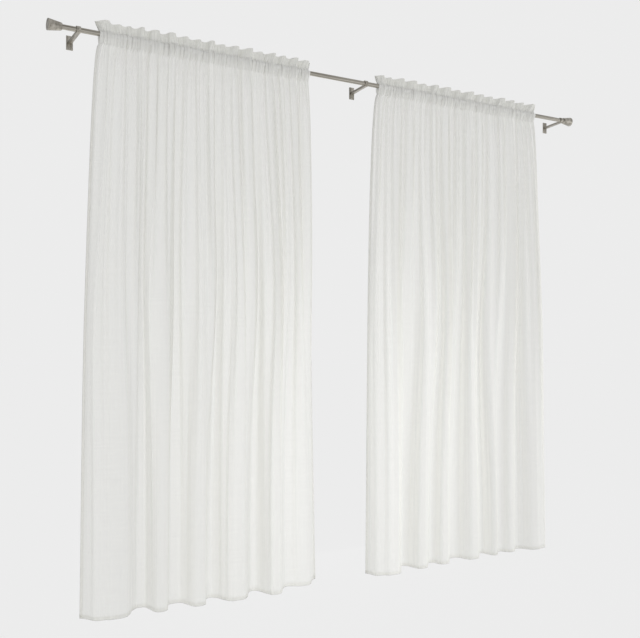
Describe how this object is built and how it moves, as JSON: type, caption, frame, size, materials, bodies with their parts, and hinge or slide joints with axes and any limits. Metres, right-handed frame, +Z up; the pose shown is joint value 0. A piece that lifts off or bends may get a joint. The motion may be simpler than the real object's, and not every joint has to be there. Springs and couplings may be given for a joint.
{
  "type": "sheer voile curtains with curtain rod",
  "caption": "Sheer off-white voile panels with rod pockets and standing frills, gathered on one brushed nickel rod with cone finials and wall brackets.",
  "frame": {"origin": "middle of the middle wall plate's back face", "axes": "+X along the rod, to the right as seen from the room; +Y from the room into the wall; +Z up"},
  "size_m": [2.7065, 0.1797, 2.2509],
  "materials": {
    "voile": "sheer off-white voile",
    "nickel": "brushed warm nickel"
  },
  "bodies": {
    "root": {"rod": "nickel", "finial_left": "nickel", "finial_right": "nickel", "bracket_left_plate": "nickel", "bracket_middle_plate": "nickel", "bracket_right_plate": "nickel", "bracket_left_arm": "nickel", "bracket_middle_arm": "nickel", "bracket_right_arm": "nickel", "curtain_left": "voile", "curtain_right": "voile"}
  },
  "joints": []
}
